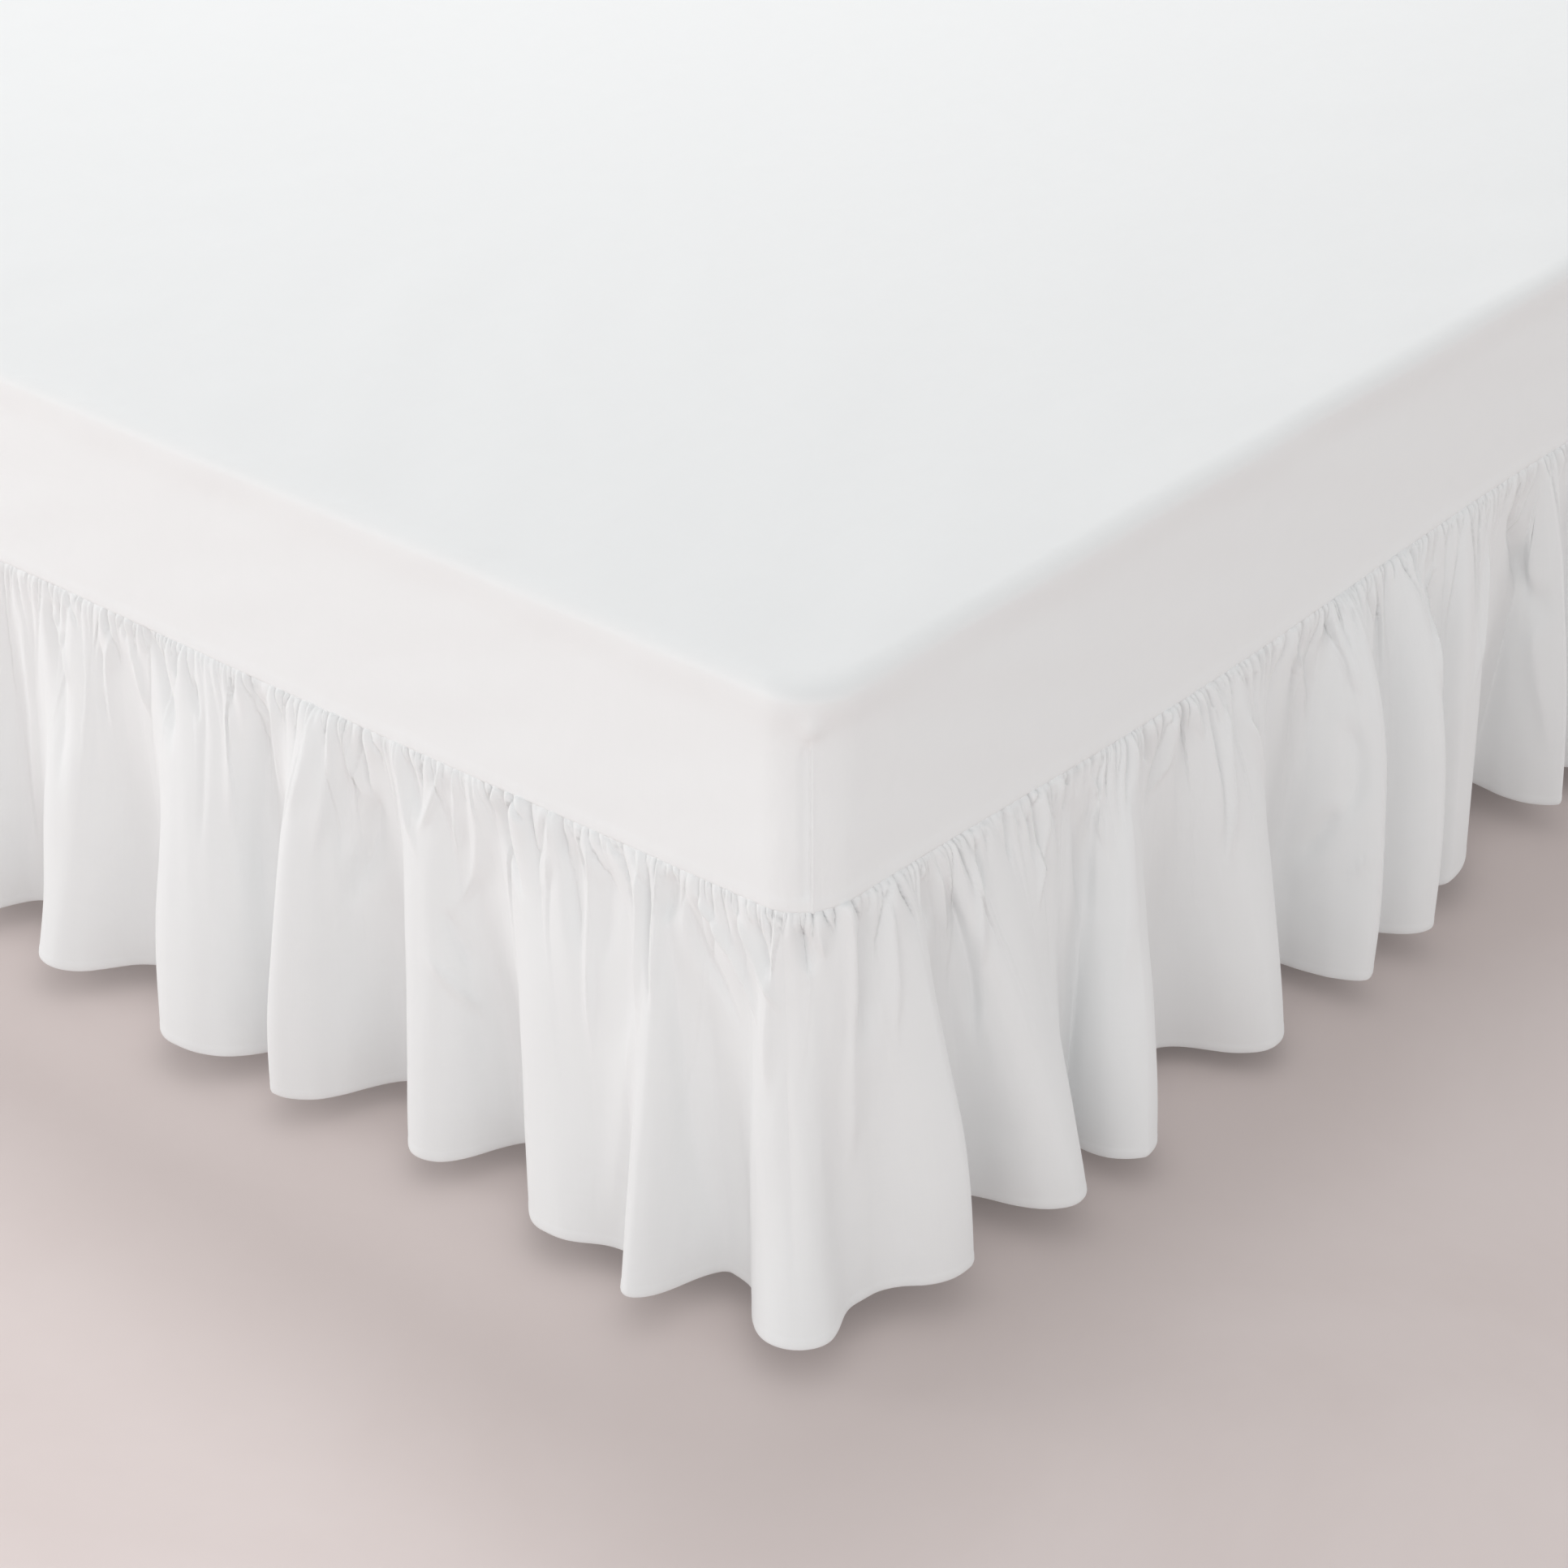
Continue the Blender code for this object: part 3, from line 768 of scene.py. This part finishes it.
def frillSurface(columns):
    seam, hem, out, flare, cloth = columns
    depth = frillRows()
    drop = frill["drop"]
    down = np.clip(depth / drop, 0, 1)[None, :]
    deep = np.maximum(depth, 0)[None, :]
    place = seam[:, None] + (hem - seam)[:, None] * down ** frill["lean"]
    early = 1 - (1 - down) ** np.maximum(flare, 1)[:, None]
    late = down ** (1 / np.minimum(flare, 1))[:, None]
    outward = out[:, None] * np.where(flare[:, None] < 1, late, early)
    tucked = out[:, None] * down ** frill["tuck"]
    reach = np.where(out[:, None] > 0, outward, tucked)
    reach += frill["puff"] * (deep / frill["puffDepth"]) * np.exp(1 - deep / frill["puffDepth"])
    reach += frill["headingSet"] * (1 - step(depth, -0.001, 0.004))[None, :]
    # cloth that stands out hangs less far down
    most = 0.8 * np.abs(depth)[None, :]
    sunk = np.sqrt(np.maximum(depth[None, :] ** 2 - np.minimum(np.abs(reach), most) ** 2, 0))
    sunk *= np.sign(depth)[None, :]
    x0, y0, nx0, _ = edgeLine(seam)
    seamHeight = (bed["seam"] + seamWave(x0, y0, nx0))[:, None]
    x, y, nx, ny = edgeLine(place)
    points = np.stack((x + nx * reach, y + ny * reach, seamHeight - sunk), axis=2)

    relief = gatherRelief(seam, depth) + creaseRelief(seam, cloth, depth)
    across, along = cloth[:, None], depth[None, :]
    free = step(depth, frill["freeFrom"], frill["freeTo"])[None, :]
    soft = frill["softHeight"] * ripples(across, along, *frill["softRipples"])
    small = frill["smallHeight"] * ripples(across, along, *frill["smallRipples"])
    relief += free * (soft + small * (1 - 0.6 * down))
    stitch = drop - frill["hemBand"]
    relief += frill["hemThickness"] * step(depth, stitch - 0.0005, stitch + 0.0012)[None, :]
    relief -= frill["hemRound"] * step(depth, drop - 0.0012, drop)[None, :]
    held = step(depth, -0.0015, 0.0010)[None, :]
    points += gridNormals(points) * (relief * held)[:, :, None]
    flat = np.stack(np.broadcast_arrays(across, along), axis=2)
    return points, flat


def makeFrill():
    stations = foldStations()
    left, right = stations[0][1], stations[-1][1]
    hollows = np.arange(2, len(stations) - 2, 2)
    joins = []
    for number in range(1, frill["widths"]):
        wanted = left + (right - left) * number / frill["widths"]
        joins.append(hollows[np.argmin(np.abs(stations[hollows, 1] - wanted))])
    points, flat = frillSurface(frillColumns(stations, [0, *joins, len(stations) - 1]))
    for number in range(1, frill["widths"] + 1):
        first = (number - 1) * frill["columns"]
        part = slice(first, first + frill["columns"] + 1)
        piece = clothGrid(f"frill_cloth_{number}", points[part], flat[part])
        # the rows run downwards, so the grid's faces look inwards
        onWholeMesh(bpy.ops.mesh.flip_normals)
        piece.data.materials.append(frillCotton)
        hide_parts(f"frill_width_{number}")
        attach(piece, "root")


makeFrill()


# Cover

cover = {
    "shoulderAcross": 0.019,  # the rounded edge, across the top
    "shoulderDown": 0.013,  # and down the wall
    "undercut": 0.0038,
    "undercutHeight": 0.154,
    "crown": 0.004,
    "topRows": (
        0.022, 0.027, 0.035, 0.045, 0.058, 0.075, 0.10, 0.13,
        0.17, 0.22, 0.28, 0.35, 0.43, 0.51, 0.59, 0.67,
    ),
    "fineStep": 0.003,  # columns round the photographed corner
    "coarseStep": 0.0085,
    "strip": 0.013,  # where the seam allowance lies under the wall
    "stripProud": 0.0010,
    "puckerHeight": 0.00025,
    "puckerReach": 0.012,
    "dartTop": 0.150,
    "dartRidge": 0.0018,
    "dartSink": 0.0040,
    "puffHeight": 0.164,
    "puffRadius": 0.0088,
    "puffProud": 0.0060,
    "wallUneven": 0.0009,
    "topUneven": 0.0010,
    "lift": 0.0008,  # of the whole top
    "deepest": 0.0010,
    "spread": 0.6,  # how fast the corner rounds out towards the middle of the top
}


def coverProfile():
    # (inset, height over the seam), from the hem up and over to the middle
    rows = [(0.0030, 0.0030), (0.0018, 0.0006), (0.0006, 0.0)]
    heights = [0.001, 0.003, 0.006, 0.009, 0.011, 0.013, 0.0155, 0.019, 0.024]
    heights += [0.030 + 0.0085 * index for index in range(14)]
    shoulderStart = bed["coverHeight"] - cover["crown"] - cover["shoulderDown"]
    heights += list(np.linspace(0.148, shoulderStart, 6))
    for height in heights:
        below = math.sin(math.pi / 2 * min(1, height / cover["undercutHeight"])) ** 2
        above = step(height, cover["undercutHeight"], shoulderStart)
        rows.append((cover["undercut"] * below * (1 - above), height))
    for share in np.linspace(0, 1, 13)[1:]:
        angle = share * math.pi / 2
        inset = cover["shoulderAcross"] * (1 - math.cos(angle))
        rows.append((inset, shoulderStart + cover["shoulderDown"] * math.sin(angle)))
    rim = rows[-1][1]
    for inset in cover["topRows"]:
        rows.append((inset, rim + cover["crown"] * float(step(inset, 0.02, 0.42))))
    return rows


# columns round a corner, close together beside the upright seam in its middle
halfShares = (
    0.010, 0.022, 0.036, 0.055, 0.08, 0.11, 0.15, 0.20,
    0.26, 0.33, 0.42, 0.52, 0.63, 0.75, 0.87, 1.0,
)
cornerShares = [-share for share in halfShares[-2::-1]] + [0.0] + list(halfShares)


def sideShares(length, fineFrom, fineTo):
    # shares along a straight side, close together over the stretch between two distances
    marks = [0.0]
    while marks[-1] < length:
        fine = fineFrom <= marks[-1] < fineTo
        marks.append(marks[-1] + (cover["fineStep"] if fine else cover["coarseStep"]))
    return np.array(marks[1:]) / marks[-1]


def coverRing(inset, shares):
    # a rounded rectangle from the middle of the head, past the left side, the foot
    # and the right side, back to the head
    halfW = bed["halfWidth"] - inset
    halfL = (bed["headY"] - bed["footY"]) / 2 - inset
    middleY = (bed["headY"] + bed["footY"]) / 2
    radius = min(bed["corner"] + cover["spread"] * inset, 0.5 * halfW)
    ring = []

    def straight(x0, y0, x1, y1, nx, ny, part):
        for share in part:
            ring.append((x0 + (x1 - x0) * share, y0 + (y1 - y0) * share, nx, ny))

    def corner(cx, cy, start):
        for share in cornerShares:
            angle = math.radians(start + 45 * (1 + share))
            nx, ny = math.cos(angle), math.sin(angle)
            ring.append((cx + radius * nx, cy + radius * ny, nx, ny))

    left, right = -halfW + radius, halfW - radius
    foot, head = middleY - halfL + radius, middleY + halfL - radius
    ring.append((0, head + radius, 0, 1))
    straight(0, head + radius, left, head + radius, 0, 1, shares["half"])
    corner(left, head, 90)
    straight(left - radius, head, left - radius, foot, -1, 0, shares["left"])
    corner(left, foot, 180)
    straight(left, foot - radius, right, foot - radius, 0, -1, shares["foot"])
    corner(right, foot, 270)
    straight(right + radius, foot, right + radius, head, 1, 0, shares["right"])
    corner(right, head, 0)
    straight(right, head + radius, 0, head + radius, 0, 1, shares["half"])
    return ring


def coverRelief(points, rings, profile):
    # the seam allowance, the upright corner seams and the faint unevenness of the cloth
    x, y = points[:, :, 0], points[:, :, 1]
    height = np.array([row[1] for row in profile])[None, :]
    inset = np.array([row[0] for row in profile])[None, :]
    wall = 1 - step(inset, 0.004, 0.02)
    edgeX = bed["halfWidth"] - np.abs(rings[:, 0, 0])[:, None]
    edgeY = np.minimum(rings[:, 0, 1] - bed["footY"], bed["headY"] - rings[:, 0, 1])[:, None]
    turn = np.arctan2(np.abs(rings[:, 0, 2]), np.abs(rings[:, 0, 3]))[:, None]
    # distance from the upright seam in the middle of the nearest corner, + towards the sides
    fromSeam = (turn - math.pi / 4) * bed["corner"]
    fromSeam = fromSeam + np.where(turn > 1.57, np.maximum(edgeY - bed["corner"], 0), 0)
    fromSeam = fromSeam - np.where(turn < 0.001, np.maximum(edgeX - bed["corner"], 0), 0)

    strip = 1 - step(height, cover["strip"] - 0.008, cover["strip"] + 0.003)
    strip = strip * (0.6 + 0.4 * step(height, 0, 0.005))
    relief = cover["stripProud"] * wall * strip * np.ones_like(fromSeam)
    lengthwise = rings[:, 0, 0][:, None] - rings[:, 0, 1][:, None]
    pucker = ripples(lengthwise, height, 7, 12, 0.007, 0.018, 3.0)
    relief += cover["puckerHeight"] * wall * pucker * np.exp(-height / cover["puckerReach"])

    standing = 1 - step(height, cover["dartTop"] - 0.006, cover["dartTop"])
    sink = step(fromSeam, -0.012, -0.0020) * (1 - step(fromSeam, -0.0020, 0.0004))
    stand = step(fromSeam, -0.0014, 0.0004) * np.exp(-np.maximum(fromSeam - 0.001, 0) / 0.0045)
    # the hollow beside the ridge ends over the frill's heading, which lies behind the strip
    aboveHeading = step(height, frill["heading"], frill["heading"] + 0.008)
    hollow = cover["dartSink"] * sink * aboveHeading
    relief += wall * standing * (cover["dartRidge"] * stand - hollow)
    awayFromPuff = fromSeam ** 2 + (height - cover["puffHeight"]) ** 2
    puff = np.exp(-awayFromPuff / cover["puffRadius"] ** 2)
    relief += cover["puffProud"] * puff

    uneven = ripples(x + 0.7 * y, height * 3 + y - x, 17, 12, 0.16, 0.5)
    relief += cover["wallUneven"] * uneven * (1 - np.exp(-height / 0.02))
    top = step(inset, 0.01, 0.05)
    relief += top * (cover["lift"] + cover["topUneven"] * ripples(x, y, 23, 16, 0.12, 0.45))
    # the cloth never sinks into the mattress, and is even in the middle of the top
    relief = np.where(inset > 0.06, np.maximum(relief, -cover["deepest"]), relief)
    middle = step(inset, 0.45, 0.65)
    return relief * (1 - middle) + cover["lift"] * middle


def makeCover():
    shares = {
        "half": sideShares(bed["footRun"] / 2, 0, 0),
        "left": sideShares(bed["sideRun"], 0, 0),
        "foot": sideShares(bed["footRun"], bed["footRun"] - 1.05, bed["footRun"] + 1),
        "right": sideShares(bed["sideRun"], 0, 1.15),
    }
    profile = coverProfile()
    rings = np.array([coverRing(inset, shares) for inset, _ in profile]).transpose(1, 0, 2)
    x, y, nx, ny = (rings[:, :, k] for k in range(4))
    height = np.array([row[1] for row in profile])[None, :]
    settle = np.clip(1 - height / 0.17, 0, 1)
    z = bed["seam"] + height + settle * seamWave(x, y, nx)
    points = np.stack((x, y, z), axis=2)
    inset = np.array([row[0] for row in profile])[None, :]
    below = np.maximum(bed["coverHeight"] - height, 0) * (1 - step(inset, 0.004, 0.03))
    flat = np.stack((x + nx * below, y + ny * below), axis=2)
    # the rows run upwards here, so the grid's normals point inwards
    points -= gridNormals(points) * coverRelief(points, rings, profile)[:, :, None]
    points[-1] = points[0]
    piece = clothGrid("fitted_cover_cloth", points, flat)

    # close the ring at the head, and fill the middle of the top
    onWholeMesh(bpy.ops.mesh.remove_doubles, threshold=0.00002)
    innermost = profile[-1][0]
    for vertex in piece.data.vertices:
        inside = abs(vertex.co.x) < bed["halfWidth"] - innermost + 0.0005
        vertex.select = inside and vertex.co.z > bed["top"] - 0.02
    bpy.ops.object.mode_set(mode="EDIT")
    bpy.ops.mesh.edge_face_add()
    bpy.ops.object.mode_set(mode="OBJECT")
    middle = piece.data.polygons[-1]
    for corner, vertex in zip(middle.loop_indices, middle.vertices):
        piece.data.uv_layers["cloth"].data[corner].uv = piece.data.vertices[vertex].co.xy
    bpy.ops.object.shade_smooth()
    piece.data.materials.append(cotton)
    return piece


coverPiece = makeCover()
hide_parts("fitted_cover")
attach(coverPiece, "root")
print(f"cover: {len(coverPiece.data.polygons)} faces")


# What lies under the cotton

def finishNode(name, material):
    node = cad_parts[name]
    for index in range(len(node.material_slots)):
        node.material_slots[index].material = material


finishNode("mattress", wovenCover("mattress ticking", mattressLook))
finishNode("base", wovenCover("base upholstery", baseLook))
footPlastic = mouldedPlastic()
for number in range(1, 7):
    finishNode(f"foot_{number}", footPlastic)
print("mattress, base and feet finished")


# Studio

studio = {
    "cameraFromCorner": (1.5458, -1.8613, 1.5495),  # from the seam's right foot corner
    "cameraTurn": 40.26,
    "cameraPitch": 30.37,
    "focalLength": 85.17,
    "sensorWidth": 36,
    "farthest": 60,
    "floorSize": 14.0,
    "skyStrength": 0.58,
    "lightCentre": (0.3, -0.4, 0.35),
    "lightDistance": 4.6,
    "lightSize": 2.4,
    "lights": (
        # name, turn from the foot's front (+ towards the right side), height angle, power
        ("front softbox", -20, 15, 12),
        ("front left softbox", -60, 15, 58),
        ("left window", -140, 40, 57),
        ("front right softbox", 20, 15, 20),
        ("right fill", 60, 15, 21),
        ("back right fill", 140, 15, 22),
    ),
    "overheadPlace": (-0.1, -0.25, 2.5),
    "overheadSize": 1.6,
    "overheadPower": 3.2,
}


def softbox(name, place, rotation, size, power):
    bpy.ops.object.light_add(type="AREA", location=place, rotation=rotation)
    light = bpy.context.object
    light.name = name
    light.data.shape = "DISK"
    light.data.size = size
    light.data.energy = power


def buildStudio():
    bpy.ops.mesh.primitive_plane_add(size=studio["floorSize"], location=(0, 0, 0))
    floor = bpy.context.object
    floor.name = "floor"
    floor.data.materials.append(studioFloor())

    for name, turn, rise, power in studio["lights"]:
        turn, rise = math.radians(turn), math.radians(rise)
        level = math.cos(rise)
        away = Vector((math.sin(turn) * level, -math.cos(turn) * level, math.sin(rise)))
        place = Vector(studio["lightCentre"]) + away * studio["lightDistance"]
        facing = (-away).to_track_quat("-Z", "Y").to_euler()
        softbox(name, place, facing, studio["lightSize"], power)
    overhead = studio["overheadPlace"], (0, 0, 0), studio["overheadSize"]
    softbox("overhead softbox", *overhead, studio["overheadPower"])

    world = bpy.data.worlds.new("studio white")
    world.use_nodes = True
    sky = world.node_tree.nodes["Background"]
    sky.inputs["Color"].default_value = (1, 1, 1, 1)
    sky.inputs["Strength"].default_value = studio["skyStrength"]
    bpy.context.scene.world = world
    bpy.context.scene.view_settings.view_transform = "Standard"

    bpy.ops.object.camera_add()
    camera = bpy.context.object
    camera.name = "camera"
    corner = (bed["halfWidth"], bed["footY"], bed["seam"])
    offsets = studio["cameraFromCorner"]
    camera.location = [start + offset for start, offset in zip(corner, offsets)]
    tilt = math.radians(90 - studio["cameraPitch"])
    camera.rotation_euler = (tilt, 0, math.radians(studio["cameraTurn"]))
    camera.data.sensor_width = studio["sensorWidth"]
    camera.data.lens = studio["focalLength"]
    camera.data.clip_end = studio["farthest"]
    bpy.context.scene.camera = camera


buildStudio()
print("studio ready")
